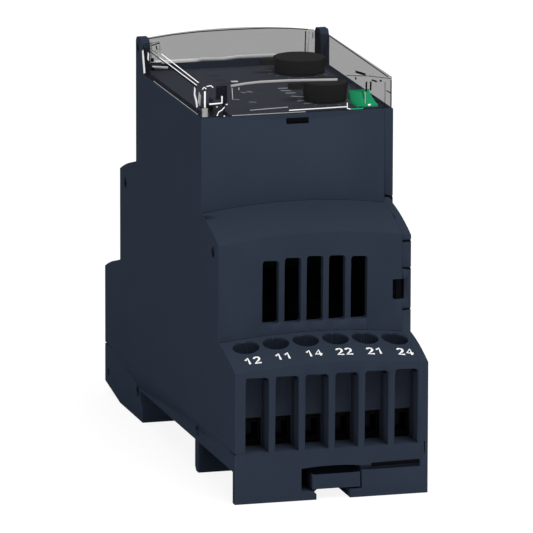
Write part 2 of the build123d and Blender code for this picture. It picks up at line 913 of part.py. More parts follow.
def crowned_face(y, half, edge_z, foot_z):
    """Cross-section of the cover at one Y: straight sides under a crowned top."""
    radius = (cover_half**2 + cover_crown**2) / (2 * cover_crown)
    axis_z = cover_edge_z + cover_crown - radius
    top_radius = radius - (cover_edge_z - edge_z)
    side_z = axis_z + sqrt(top_radius**2 - half**2)
    with BuildSketch(Plane.XZ.offset(-y)) as face:
        with BuildLine():
            Polyline((half, side_z), (half, foot_z), (-half, foot_z), (-half, side_z))
            ThreePointArc((-half, side_z), (0, axis_z + top_radius), (half, side_z))
        make_face()
    return face.sketch


with BuildPart() as clear_cover:
    ear_half = half_width - wall - post_gap
    near_y = -nose_face + cover_gap
    shoulder_y = post_low_y - post_gap
    far_y = nose_face - cover_gap
    low_z = rim_z + cover_lift

    outer_face = crowned_face(shoulder_y, cover_half, cover_edge_z, low_z)
    extrude(outer_face, amount=shoulder_y - near_y)
    ear_face = crowned_face(far_y, ear_half, cover_edge_z, far_lip_z)
    extrude(ear_face, amount=far_y - shoulder_y + wall)
    fillet(clear_cover.edges().filter_by(Axis.Z).group_by(Axis.Y)[0], cover_wall / 2)
    inner_edge_z = cover_edge_z - cover_wall
    inner_low_z = low_z - cover_wall
    inner_face = crowned_face(
        shoulder_y - cover_wall, cover_half - cover_wall, inner_edge_z, inner_low_z
    )
    extrude(inner_face, amount=shoulder_y - near_y - 2 * cover_wall, mode=Mode.SUBTRACT)
    inner_ear = crowned_face(far_y - cover_wall, ear_half - cover_wall, inner_edge_z, inner_low_z)
    extrude(inner_ear, amount=far_y - shoulder_y + cover_wall, mode=Mode.SUBTRACT)
    knob_clear_z = plate_top_z + knob_gap + knob_height + post_gap
    with Locations((0, shoulder_y, low_z - cover_wall)):
        Box(
            2 * (cover_half - cover_wall),
            cover_wall,
            knob_clear_z - low_z + cover_wall,
            align=(Align.CENTER, Align.MAX, Align.MIN),
            mode=Mode.SUBTRACT,
        )
    for side in (-1, 1):
        pin_plane = Plane(
            (side * (ear_half - cover_wall / 2), pivot_y, pivot_z), x_dir=(0, 1, 0), z_dir=(side, 0, 0)
        )
        with BuildSketch(pin_plane):
            Circle(pin_diameter / 2)
        extrude(amount=cover_wall / 2 + post_gap + wall - 2 * cover_gap)
save(clear_cover.part, "clear_cover")


def board(name, x_size, y_size, z_size, place):
    """One bare circuit board, centred in X and Y on its place."""
    with BuildPart() as plate:
        with Locations(place):
            Box(x_size, y_size, z_size, align=(Align.CENTER, Align.CENTER, Align.MIN))
    save(plate.part, name)


board_width = 2 * (cover_plane_x - board_gap)
base_board_length = 2 * (half_height - carrier_back - carrier_gap)
front_board_length = 2 * (nose_face - wall - ledge_width)
base_board_top = base_board_z + board_thickness
board("base_board", board_width, base_board_length, board_thickness, (0, 0, base_board_z))
board("front_board", board_width, front_board_length, board_thickness, (0, 0, front_board_z))
board(
    "riser_board",
    board_width,
    board_thickness,
    front_board_z - base_board_top,
    (0, riser_y, base_board_top),
)

relay_x, relay_length, relay_height = relay_size
relay_y = riser_y - board_thickness - relay_length / 2
for number, side in ((1, -1), (2, 1)):
    with BuildPart() as output_relay:
        place = (side * (relay_x + relay_gap) / 2, relay_y, base_board_top)
        with Locations(place):
            Box(
                relay_x,
                relay_length,
                relay_height,
                align=(Align.CENTER, Align.CENTER, Align.MIN),
            )
        chamfer(output_relay.faces().sort_by(Axis.Z).last.edges(), groove_size)
    save(output_relay.part, f"output_relay_{number}")

with BuildPart() as supply_transformer:
    core_x, core_y, core_z = transformer_width, transformer_length, transformer_height
    transformer_y = riser_y + transformer_gap + core_y / 2
    with Locations((0, transformer_y, base_board_top)):
        Box(core_x, core_y, core_z, align=(Align.CENTER, Align.CENTER, Align.MIN))
    with Locations((0, transformer_y, base_board_top + core_z / 2)):
        for side in (-1, 1):
            with Locations((side * core_x * 0.28, 0, 0)):
                Box(core_x * 0.22, core_y * 2, core_z * 0.55, mode=Mode.SUBTRACT)
save(supply_transformer.part, "supply_transformer")

with BuildPart() as transformer_winding:
    for side in (-1, 1):
        with Locations((side * core_x * 0.28, transformer_y, base_board_top + core_z / 2)):
            Box(core_x * 0.22, core_y * 0.9, core_z * 0.55)
save(transformer_winding.part, "transformer_winding")

with BuildPart() as supply_capacitors:
    with BuildSketch(Plane.XZ.offset(board_thickness / 2 - riser_y)):
        with Locations((0, capacitor_z)):
            with GridLocations(capacitor_spacing, 0, 2, 1):
                Circle(capacitor_diameter / 2)
    extrude(amount=capacitor_height)
save(supply_capacitors.part, "supply_capacitors")

with BuildPart() as current_shunt:
    shunt_y = bar_tail_y - relay_gap
    shunt_low = base_board_top
    with BuildSketch(Plane.XZ.offset(-shunt_y)):
        with Locations((-terminal_pitch * 1.5, shunt_low + relay_gap)):
            Rectangle(2 * terminal_pitch, 2 * relay_gap)
            with Locations((0, -groove_size)):
                Rectangle(2 * terminal_pitch - 2 * relay_gap, 2 * relay_gap, mode=Mode.SUBTRACT)
    extrude(amount=-bar_thickness)
save(current_shunt.part, "current_shunt")
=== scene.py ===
"""Looks of a rail-mounted current monitoring relay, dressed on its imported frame, in metres.

The relay stands on its rail feet: X runs along the rail, Y from the output terminals to the
input terminals, and Z out of the rail towards the clear cover.
"""
import json
from math import cos, radians, sin

import bmesh
import bpy
from mathutils import Matrix, Vector
from mathutils.bvhtree import BVHTree


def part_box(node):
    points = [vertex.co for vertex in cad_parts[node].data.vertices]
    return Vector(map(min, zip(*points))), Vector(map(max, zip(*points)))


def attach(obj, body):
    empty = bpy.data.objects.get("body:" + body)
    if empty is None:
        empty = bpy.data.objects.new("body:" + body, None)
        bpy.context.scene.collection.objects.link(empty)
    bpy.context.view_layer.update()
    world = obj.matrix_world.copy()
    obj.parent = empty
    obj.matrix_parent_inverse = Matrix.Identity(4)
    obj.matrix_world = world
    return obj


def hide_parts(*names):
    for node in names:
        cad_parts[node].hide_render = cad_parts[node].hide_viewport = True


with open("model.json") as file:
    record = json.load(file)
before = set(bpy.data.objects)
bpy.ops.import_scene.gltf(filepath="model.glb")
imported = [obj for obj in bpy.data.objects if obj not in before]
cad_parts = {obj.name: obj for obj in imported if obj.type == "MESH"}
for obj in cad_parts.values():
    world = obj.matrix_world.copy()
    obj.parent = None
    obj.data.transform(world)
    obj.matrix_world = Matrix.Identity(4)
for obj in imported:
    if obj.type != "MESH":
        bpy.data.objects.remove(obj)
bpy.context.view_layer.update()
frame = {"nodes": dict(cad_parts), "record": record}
mm = 0.001
scene = bpy.context.scene

# Colours, as linear values
casing_blue = (0.0235, 0.0320, 0.0490)
casing_blue_worn = (0.027, 0.036, 0.055)
front_blue = (0.052, 0.058, 0.074)
front_blue_worn = (0.058, 0.065, 0.083)
carrier_grey = (0.037, 0.045, 0.067)
knob_black = (0.030, 0.030, 0.030)
knob_black_worn = (0.032, 0.032, 0.032)
smoke_tint = (0.012, 0.012, 0.013)
button_green = (0.014, 0.470, 0.190)
print_white = (0.90, 0.90, 0.90)
scale_grey = (0.32, 0.33, 0.35)
laminate_green = (0.010, 0.080, 0.030)
shadow_blue = (0.005, 0.006, 0.009)


def set_input(shader, **values):
    """Sets the shader's own sockets, named with underscores for spaces."""
    for key, value in values.items():
        shader.inputs[key.replace("_", " ")].default_value = value


def new_material(name):
    """An empty node material: its nodes, its links and its main shader."""
    material = bpy.data.materials.new(name)
    material.use_nodes = True
    tree = material.node_tree
    return material, tree.nodes, tree.links, tree.nodes["Principled BSDF"]


def noise(nodes, links, place, size, detail):
    """Noise on object coordinates with features of the given size in metres."""
    texture = nodes.new("ShaderNodeTexNoise")
    texture.inputs["Scale"].default_value = 1 / size
    texture.inputs["Detail"].default_value = detail
    links.new(place.outputs["Object"], texture.inputs["Vector"])
    return texture


def tone_between(nodes, links, shader, factor, low, high):
    """Base colour that wanders between two tones."""
    mix = nodes.new("ShaderNodeMix")
    mix.data_type = "RGBA"
    mix.inputs["A"].default_value = (*low, 1)
    mix.inputs["B"].default_value = (*high, 1)
    links.new(factor, mix.inputs["Factor"])
    links.new(mix.outputs["Result"], shader.inputs["Base Color"])


def roughness_between(nodes, links, shader, factor, low, high):
    """Roughness that wanders between two values."""
    spread = nodes.new("ShaderNodeMapRange")
    spread.inputs["To Min"].default_value = low
    spread.inputs["To Max"].default_value = high
    links.new(factor, spread.inputs["Value"])
    links.new(spread.outputs["Result"], shader.inputs["Roughness"])


def relief(nodes, links, shader, height, depth, strength):
    """Bump of the given depth in metres."""
    bump = nodes.new("ShaderNodeBump")
    bump.inputs["Distance"].default_value = depth
    bump.inputs["Strength"].default_value = strength
    links.new(height, bump.inputs["Height"])
    links.new(bump.outputs["Normal"], shader.inputs["Normal"])


def moulded_plastic(name, colour, other, rough, grain=0.25 * mm, depth=0.006 * mm, gloss=0.03):
    """Moulded plastic with a fine eroded grain and slow changes of tone and gloss."""
    material, nodes, links, shader = new_material(name)
    place = nodes.new("ShaderNodeTexCoord")
    cloud = noise(nodes, links, place, 9 * mm, 3)
    tone_between(nodes, links, shader, cloud.outputs["Fac"], colour, other)
    roughness_between(nodes, links, shader, cloud.outputs["Fac"], rough - 0.05, rough + 0.05)
    relief(nodes, links, shader, noise(nodes, links, place, grain, 2).outputs["Fac"], depth, 0.5)
    set_input(shader, Specular_IOR_Level=gloss)
    return material


def metal(name, colour, other, rough, scratch=0.12 * mm):
    """Plated metal with fine handling scratches."""
    material, nodes, links, shader = new_material(name)
    place = nodes.new("ShaderNodeTexCoord")
    cloud = noise(nodes, links, place, 1.6 * mm, 4)
    tone_between(nodes, links, shader, cloud.outputs["Fac"], colour, other)
    roughness_between(nodes, links, shader, cloud.outputs["Fac"], rough - 0.08, rough + 0.1)
    relief(nodes, links, shader, noise(nodes, links, place, scratch, 3).outputs["Fac"], 0.004 * mm, 0.4)
    set_input(shader, Metallic=1.0)
    return material


def printed_ink(name, colour, other):
    """Pad-printed ink with a slightly uneven film."""
    material, nodes, links, shader = new_material(name)
    place = nodes.new("ShaderNodeTexCoord")
    film = noise(nodes, links, place, 0.3 * mm, 2)
    tone_between(nodes, links, shader, film.outputs["Fac"], colour, other)
    set_input(shader, Roughness=0.55)
    return material


def clear_plastic(name, tint, cover, rough):
    """Thin smoke-tinted clear plastic: each face holds back a share of what is behind it."""
    material, nodes, links, shader = new_material(name)
    set_input(shader, Base_Color=(*tint, 1), Roughness=rough, Alpha=cover, Specular_IOR_Level=0.0)
    place = nodes.new("ShaderNodeTexCoord")
    relief(nodes, links, shader, noise(nodes, links, place, 12 * mm, 1).outputs["Fac"], 0.02 * mm, 0.2)
    path = nodes.new("ShaderNodeLightPath")
    gap = nodes.new("ShaderNodeBsdfTransparent")
    mix = nodes.new("ShaderNodeMixShader")
    links.new(path.outputs["Is Shadow Ray"], mix.inputs["Fac"])
    links.new(shader.outputs["BSDF"], mix.inputs[1])
    links.new(gap.outputs["BSDF"], mix.inputs[2])
    links.new(mix.outputs["Shader"], nodes["Material Output"].inputs["Surface"])
    return material


casing_finish = moulded_plastic("casing_plastic", casing_blue, casing_blue_worn, 0.6, gloss=0.0)
front_finish = moulded_plastic("front_plastic", front_blue, front_blue_worn, 0.6, gloss=0.0)
carrier_finish = moulded_plastic("carrier_plastic", carrier_grey, (0.041, 0.050, 0.073), 0.6, gloss=0.0)
knob_finish = moulded_plastic("knob_plastic", knob_black, knob_black_worn, 0.5, gloss=0.0)
button_finish = moulded_plastic("button_plastic", button_green, (0.02, 0.52, 0.22), 0.4, gloss=0.0)
black_finish = moulded_plastic("black_plastic", (0.008, 0.008, 0.009), (0.014, 0.014, 0.015), 0.5)
lamp_finish = moulded_plastic("lamp_plastic", (0.75, 0.75, 0.68), (0.6, 0.6, 0.55), 0.25, gloss=0.3)
laminate_finish = moulded_plastic("board_laminate", laminate_green, (0.014, 0.11, 0.045), 0.35, gloss=0.3)
can_finish = moulded_plastic("capacitor_can", (0.012, 0.014, 0.06), (0.02, 0.022, 0.08), 0.3, gloss=0.3)
# Painted shade for the creases of the button's thumb rest
crease_shade_finish = moulded_plastic("button_crease_shade", (0.006, 0.16, 0.07), (0.008, 0.19, 0.085), 0.6, gloss=0.0)
# Painted shade for the walls of the screw wells
well_shade_finish = moulded_plastic("well_shade", (0.012, 0.016, 0.025), (0.015, 0.020, 0.030), 0.7, gloss=0.0)
# Painted shade for the creases at the foot of each casing step
painted_shade_finish = moulded_plastic("painted_crease_shade", shadow_blue, (0.007, 0.009, 0.013), 0.8, gloss=0.0)
core_finish = metal("core_steel", (0.07, 0.07, 0.075), (0.11, 0.11, 0.115), 0.5)
steel_finish = metal("zinc_steel", (0.20, 0.205, 0.21), (0.14, 0.145, 0.15), 0.42)
# Painted shade: the plated clamps in the terminal entries are coloured near black for the shade they sit in
clamp_shade_finish = metal("clamp_painted_shade", (0.006, 0.006, 0.007), (0.004, 0.004, 0.005), 0.6)
# Painted shade: the tinned copper inside the terminals is coloured near black for the shade it sits in
tin_shade_finish = metal("copper_painted_shade", (0.010, 0.008, 0.007), (0.006, 0.005, 0.004), 0.6)
copper_finish = metal("copper_winding", (0.55, 0.2, 0.08), (0.42, 0.14, 0.05), 0.3)
shunt_finish = metal("shunt_alloy", (0.55, 0.4, 0.3), (0.42, 0.3, 0.22), 0.35)

# Share of the light that the outer and the inner faces of the clear cover hold back
outer_share = 0.445
inner_share = 0.0
cover_finish = clear_plastic("clear_cover_plastic", smoke_tint, outer_share, 0.2)
cover_inner_finish = clear_plastic("clear_cover_inside", smoke_tint, inner_share, 0.2)
seal_shade = moulded_plastic("seal_shade", (0.010, 0.014, 0.026), (0.014, 0.018, 0.032), 0.6, gloss=0.0)
guide_finish = clear_plastic("light_guide_plastic", (0.05, 0.055, 0.07), 0.9, 0.1)
# Painted highlights and painted shade: flat bright, dim and near-black colours for the glints and dark lines
# of the clear cover's edges; the dark one also paints the shade in the casing's openings
painted_highlight = moulded_plastic("painted_highlight", (0.95, 0.95, 0.95), (0.85, 0.85, 0.86), 0.3, gloss=0.2)
painted_dim_highlight = moulded_plastic("painted_dim_highlight", (0.34, 0.34, 0.34), (0.28, 0.28, 0.28), 0.3, gloss=0.2)
painted_dark_shade = moulded_plastic("painted_dark_shade", (0.003, 0.003, 0.004), (0.005, 0.005, 0.006), 0.5, gloss=0.0)
white_ink = printed_ink("white_print", print_white, (0.82, 0.82, 0.82))
grey_ink = printed_ink("grey_print", scale_grey, (0.22, 0.23, 0.25))

finish_of_slot = {
    "housing_plastic": casing_finish,
    "front_plastic": front_finish,
    "carrier_plastic": carrier_finish,
    "clear_plastic": cover_finish,
    "knob_plastic": knob_finish,
    "button_plastic": button_finish,
    "black_plastic": black_finish,
    "lamp_plastic": lamp_finish,
    "board_laminate": laminate_finish,
    "steel": steel_finish,
    "plated_steel": clamp_shade_finish,
    "tinned_copper": tin_shade_finish,
    "core_steel": core_finish,
    "copper_winding": copper_finish,
    "capacitor_can": can_finish,
    "shunt_alloy": shunt_finish,
}
slot_of_node = {part["node"]: part["material_slot"] for part in frame["record"]["subparts"]}
body_of_node = {
    node: body for body, members in frame["record"]["behaviour"]["bodies"].items() for node in members
}
for node, slot in slot_of_node.items():
    frame["nodes"][node].material_slots[0].material = finish_of_slot[slot]
frame["nodes"]["light_guides"].material_slots[0].material = guide_finish


def link_piece(name, mesh, material, body):
    """Puts a finished mesh into the scene as a piece that rides on a body."""
    piece = bpy.data.objects.new(name, mesh)
    scene.collection.objects.link(piece)
    mesh.materials.clear()
    mesh.materials.append(material)
    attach(piece, body)
    return piece


def moulded_skin(node, radius, segments=2, crease=30, shortest=1.5 * mm):
    """A copy of a moulded node with its facets joined and its edges slightly rounded."""
    shell = bmesh.new()
    shell.from_mesh(frame["nodes"][node].data)
    bmesh.ops.remove_doubles(shell, verts=shell.verts, dist=0.002 * mm)
    bmesh.ops.dissolve_limit(shell, angle_limit=radians(0.05), verts=shell.verts, edges=shell.edges)
    bmesh.ops.triangulate(shell, faces=shell.faces, quad_method="BEAUTY", ngon_method="BEAUTY")
    weight = shell.edges.layers.float.new("bevel_weight_edge")
    for edge in shell.edges:
        edge[weight] = float(edge.calc_face_angle(0) > radians(crease) and edge.calc_length() > shortest)
    mesh = bpy.data.meshes.new(node + "_skin")
    shell.to_mesh(mesh)
    shell.free()
    for face in mesh.polygons:
        face.use_smooth = True
    mesh.set_sharp_from_angle(angle=radians(crease))
    slot = slot_of_node[node]
    piece = link_piece(node + "_skin", mesh, finish_of_slot[slot], body_of_node[node])
    rounding = piece.modifiers.new("edge rounding", "BEVEL")
    rounding.width = radius
    rounding.segments = segments
    rounding.limit_method = "WEIGHT"
    rounding.harden_normals = True
    rounding.loop_slide = False
    rounding.use_clamp_overlap = False
    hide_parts(node)
    return piece


def finished_mesh(shape, name):
    """Turns a bmesh into a mesh with its face normals recalculated.

    The drums of the two knobs still come out inside out.
    """
    bmesh.ops.recalc_face_normals(shape, faces=shape.faces)
    mesh = bpy.data.meshes.new(name)
    shape.to_mesh(mesh)
    shape.free()
    return mesh


line_film = 0.03


def strip(name, path, across, width, material, body, thickness=0.04):
    """A thin flat strip along a path, all in millimetres, across a given direction."""
    band = bmesh.new()
    side = Vector(across).normalized() * width / 2
    points = [Vector(point) for point in path]
    edge = band.edges.new([band.verts.new(points[0] - side), band.verts.new(points[0] + side)])
    for before, point in zip(points, points[1:]):
        made = bmesh.ops.extrude_edge_only(band, edges=[edge])["geom"]
        fresh = [item for item in made if isinstance(item, bmesh.types.BMVert)]
        bmesh.ops.translate(band, verts=fresh, vec=point - before)
        edges = [item for item in made if isinstance(item, bmesh.types.BMEdge)]
        edge = next(item for item in edges if set(item.verts) == set(fresh))
    bmesh.ops.solidify(band, geom=band.faces[:], thickness=thickness)
    bmesh.ops.scale(band, verts=band.verts, vec=(mm, mm, mm))
    return link_piece(name, finished_mesh(band, name), material, body)


def flat_lines(name, axis, level, lines, width, material, body):
    """Flat round-ended lines on a plane square to an axis, in millimetres."""
    across = "xyz".index(axis)
    curve = bpy.data.curves.new(name, "CURVE")
    curve.dimensions = "3D"
    curve.bevel_depth = width / 2
    curve.bevel_resolution = 1
    curve.use_fill_caps = True
    for line in lines:
        spline = curve.splines.new("POLY")
        spline.points.add(len(line) - 1)
        for point, pair in zip(spline.points, line):
            place = list(pair)
            place.insert(across, level)
            point.co = (*place, 1)
    source = bpy.data.objects.new(name + "_curve", curve)
    mesh = bpy.data.meshes.new_from_object(source)
    bpy.data.objects.remove(source)
    for vertex in mesh.vertices:
        vertex.co[across] = level + (vertex.co[across] - level) * line_film / width
    mesh.transform(Matrix.Diagonal((mm, mm, mm, 1)))
    return link_piece(name, mesh, material, body)


def surface_of(piece):
    """Search tree over a piece's finished surface."""
    return BVHTree.FromObject(piece, bpy.context.evaluated_depsgraph_get())


def height_on(surface, x, y, start_z=80):
    """Height of a surface straight below a point, in millimetres."""
    hit = surface.ray_cast(Vector((x, y, start_z)) * mm, Vector((0, 0, -1)))[0]
    return hit.z / mm


# Moulded pieces, with the radius of their edges
main_skin = moulded_skin("main_housing", 0.07 * mm)
moulded_skin("side_cover", 0.02 * mm)
moulded_skin("rail_base", 0.03 * mm)


def knurled_knob(node, top_z):
    """A knurled drum with its pointer and shaft, centred on the knob's solid."""
    low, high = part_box(node)
    radius = (high.y - low.y) / 2
    centre = Vector((high.x - radius, (low.y + high.y) / 2, 0))
    drum_low = knob_seat * mm
    drum_high = top_z * mm
    shape = bmesh.new()
    depth = drum_high - drum_low
    drum = bmesh.ops.create_cone(
        shape, cap_ends=True, segments=knurl_count, radius1=radius, radius2=radius, depth=depth
    )["verts"]
    bmesh.ops.translate(shape, verts=drum, vec=centre + Vector((0, 0, (drum_low + drum_high) / 2)))
    sides = [face for face in shape.faces if abs(face.normal.z) < 0.5]
    grooves = sides[::2]
    bmesh.ops.inset_individual(shape, faces=grooves, thickness=knurl_land * mm, depth=-knurl_depth * mm)
    tops = [edge for edge in shape.edges if all(abs(v.co.z - drum_high) < 1e-6 for v in edge.verts)]
    bmesh.ops.bevel(
        shape, geom=tops, offset=knob_chamfer * mm, affect="EDGES", segments=1, profile=0.5, material=-1
    )
    pointer = bmesh.ops.create_cube(shape, size=1.0)["verts"]
    reach = centre.x - low.x
    bmesh.ops.scale(shape, verts=pointer, vec=(reach, pointer_width * mm, pointer_height * mm))
    pointer_z = drum_high - (pointer_drop + pointer_height / 2) * mm
    bmesh.ops.translate(shape, verts=pointer, vec=(centre.x - reach / 2, centre.y, pointer_z))
    tip = [vertex for vertex in pointer if vertex.co.x < low.x + 0.1 * mm]
    bmesh.ops.scale(shape, verts=tip, vec=(1, tip_share, 1), space=Matrix.Translation(-centre))
    thin, length = stem_radius * mm, drum_low - low.z
    stem = bmesh.ops.create_cone(
        shape, cap_ends=True, segments=24, radius1=thin, radius2=thin, depth=length
    )["verts"]
    bmesh.ops.translate(shape, verts=stem, vec=centre + Vector((0, 0, (drum_low + low.z) / 2)))
    mesh = finished_mesh(shape, node + "_skin")
    piece = link_piece(node + "_skin", mesh, knob_finish, body_of_node[node])
    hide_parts(node)
    return piece


knob_seat = 64.3
knurl_count = 92
knurl_depth = 0.22
knurl_land = 0.03
knob_chamfer = 0.12
pointer_width = 2.2
pointer_height = 1.1
pointer_drop = 0.1
tip_share = 0.4
stem_radius = 1.4
value_knob_top = 67.0
delay_knob_top = 67.6
knurled_knob("value_knob", value_knob_top)
knurled_knob("delay_knob", delay_knob_top)


def clear_skin(node):
    """A copy of the clear cover that shades each wall once, on its outer face."""
    shell = bmesh.new()
    shell.from_mesh(frame["nodes"][node].data)
    bmesh.ops.remove_doubles(shell, verts=shell.verts, dist=0.002 * mm)
    shell.normal_update()
    whole = BVHTree.FromBMesh(shell)
    inner = []
    for face in shell.faces:
        middle = face.calc_center_median()
        across = whole.ray_cast(middle + face.normal * 0.02 * mm, face.normal, 80 * mm)[3]
        ceiling = face.normal.z < -0.5 and middle.z > 66 * mm
        inner.append(bool(across) or ceiling)
    mesh = bpy.data.meshes.new(node + "_skin")
    shell.to_mesh(mesh)
    shell.free()
    piece = link_piece(node + "_skin", mesh, cover_finish, body_of_node[node])
    mesh.materials.append(cover_inner_finish)
    for face, faces_inwards in zip(mesh.polygons, inner):
        face.material_index = int(faces_inwards)
    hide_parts(node)
    return piece


clear_skin("clear_cover")
button_skin = moulded_skin("diagnosis_button", 0.3 * mm, 3, 40)

# Painted shade in the creases of the button's thumb rest, as darker green strips
button_surface = surface_of(button_skin)
button_lift = 0.02
crease_shade_paths = (
    ("button_crease_shade_across", (0, 1, 0), 0.4, [(12.9, -13.75), (13.6, -13.8), (14.3, -14.0)]),
    ("button_crease_shade_down", (1, 0, 0), 0.3, [(14.3, -13.9), (14.2, -15.0), (14.0, -16.3)]),
)
for name, across, width, places in crease_shade_paths:
    path = [(x, y, height_on(button_surface, x, y) + button_lift) for x, y in places]
    strip(name, path, across, width, crease_shade_finish, "diagnosis_button", 0.01)

# Painted shade: dark marks laid on the casing where its openings, notches, grooves, slots and pegs fall into
# shade
casing_shade_marks = (
    (
        "near_notch_shades",
        "y",
        -34.02,
        0.3,
        [[(16.0, 42.75), (17.35, 42.8)], [(16.0, 38.0), (17.35, 37.75)], [(16.1, 30.5), (17.35, 30.65)]],
    ),
    ("nose_notch_shade", "y", -22.52, 0.3, [[(16.05, 48.75), (16.8, 48.45), (17.35, 47.9)]]),
    ("window_shade", "y", -33.8, 1.3, [[(15.3, 35.9), (15.3, 32.5)]]),
    ("nose_slot_shade", "y", -22.51, 1.2, [[(-1.85, 62.92), (2.05, 62.93)]]),
    ("foot_tick_shade", "y", -45.0, 0.2, [[(16.87, 9.3), (16.88, 7.2)]]),
    ("foot_groove_shade", "y", -45.0, 0.75, [[(7.2, 5.7), (16.0, 5.85)]]),
    (
        "peg_shades",
        "x",
        -17.49,
        0.9,
        [
            [(30.2, 41.6), (30.2, 42.0)],
            [(-30.2, 41.4), (-30.2, 41.9)],
            [(21.6, 5.0), (21.6, 5.4)],
            [(-19.6, 7.6), (-19.6, 8.1)],
        ],
    ),
)
for name, axis, level, width, lines in casing_shade_marks:
    flat_lines("casing_" + name, axis, level, lines, width, painted_dark_shade, "casing")

# Terminal numbers printed on the near shoulder
terminal_numbers = ("12", "11", "14", "22", "21", "24")
number_pitch = 5.52
number_middle = 0.25
number_y = -42.3
digit_height = 1.75
digit_width = 1.15
digit_step = 1.62
digit_weight = 0.42
digit_strokes = {
    "1": [((0.10, 0.70), (0.62, 1.0), (0.62, 0.0))],
    "2": [
        (
            *((0.05, 0.78), (0.22, 0.96), (0.50, 1.0), (0.80, 0.92)),
            *((0.90, 0.72), (0.78, 0.52), (0.02, 0.0), (0.98, 0.0)),
        )
    ],
    "4": [((0.72, 0.0), (0.72, 1.0), (0.0, 0.30), (1.05, 0.30))],
}
print_film = 0.02


def drawn_number(name, words, middle_x, y, surface):
    """A printed number made of round-ended strokes, laid on a surface that faces up."""
    curve = bpy.data.curves.new(name, "CURVE")
    curve.dimensions = "3D"
    curve.bevel_depth = digit_weight / 2
    curve.bevel_resolution = 2
    curve.use_fill_caps = True
    for place, digit in enumerate(words):
        left = middle_x + (place - (len(words) - 1) / 2) * digit_step - digit_width / 2
        for stroke in digit_strokes[digit]:
            spline = curve.splines.new("POLY")
            spline.points.add(len(stroke) - 1)
            for point, (along, up) in zip(spline.points, stroke):
                point.co = (left + along * digit_width, y + (up - 0.5) * digit_height, 0, 1)
    source = bpy.data.objects.new(name + "_curve", curve)
    mesh = bpy.data.meshes.new_from_object(source)
    bpy.data.objects.remove(source)
    for vertex in mesh.vertices:
        film = print_film * (1 + vertex.co.z / digit_weight)
        vertex.co.z = height_on(surface, vertex.co.x, vertex.co.y) + film
    mesh.transform(Matrix.Diagonal((mm, mm, mm, 1)))
    return link_piece(name, mesh, white_ink, "casing")


casing_surface = surface_of(main_skin)
for number, words in enumerate(terminal_numbers):
    x = number_middle + (number - (len(terminal_numbers) - 1) / 2) * number_pitch
    drawn_number(f"terminal_number_{number + 1}", words, x, number_y, casing_surface)

# Painted shade in the wells over the terminal screws: dark rings that darken the wells' walls. The bore's own
# radius is 2.35 mm, so the near ones lie flush with its wall and the far ones inside it.
well_centre_y = 37.7
well_radius = 2.37
well_lip = 0.22
well_floor = 22.0
terminal_pitch = 5.4
well_edges = (34.8, 40.6)
well_count = 6
well_reach = 17
shade_ring_thickness = 0.02
for end, end_name in ((-1, "near"), (1, "far")):
    back, front = (height_on(casing_surface, 0, end * edge) for edge in well_edges)
    slope = (front - back) / (well_edges[1] - well_edges[0])
    fall = (back - height_on(casing_surface, -well_reach, end * well_edges[0])) / well_reach**2
    shade_rings = bmesh.new()
    for place in range(well_count):
        x = (place - (well_count - 1) / 2) * terminal_pitch
        ring = bmesh.ops.create_cone(
            shade_rings, cap_ends=False, segments=32, radius1=well_radius, radius2=well_radius, depth=2.0
        )["verts"]
        for vertex in ring:
            along, across, level = vertex.co
            y = well_centre_y + across
            rim = back + slope * (y - well_edges[0]) - fall * (x + along) ** 2
            vertex.co = (x + along, end * y, rim - well_lip if level > 0 else well_floor)
    bmesh.ops.reverse_faces(shade_rings, faces=shade_rings.faces)
    bmesh.ops.solidify(shade_rings, geom=shade_rings.faces[:], thickness=shade_ring_thickness)
    bmesh.ops.scale(shade_rings, verts=shade_rings.verts, vec=(mm, mm, mm))
    name = end_name + "_well_shade_rings"
    link_piece(name, finished_mesh(shade_rings, name), well_shade_finish, "casing")

# Painted shade: dark lines in the creases where each step of the casing starts
step_half = 15.8
step_faces = (22.5, 34.0)
left_half = 17.3
crease_shade_width = 0.24
crease_shade_steps = 24
crease_shade_lift = 0.02
for end, end_name in ((-1, "near"), (1, "far")):
    for level, face in enumerate(step_faces, 1):
        y = end * (face + crease_shade_width / 2)
        crest = height_on(casing_surface, 0, y)
        fall = (crest - height_on(casing_surface, -left_half, y)) / left_half**2
        places = [-left_half + i * (left_half + step_half) / crease_shade_steps for i in range(crease_shade_steps + 1)]
        path = [(x, y, crest - fall * x * x + crease_shade_lift) for x in places]
        name = f"{end_name}_step_seam_{level}"
        strip(name, path, (0, 1, 0), crease_shade_width, painted_shade_finish, "casing", 0.01)
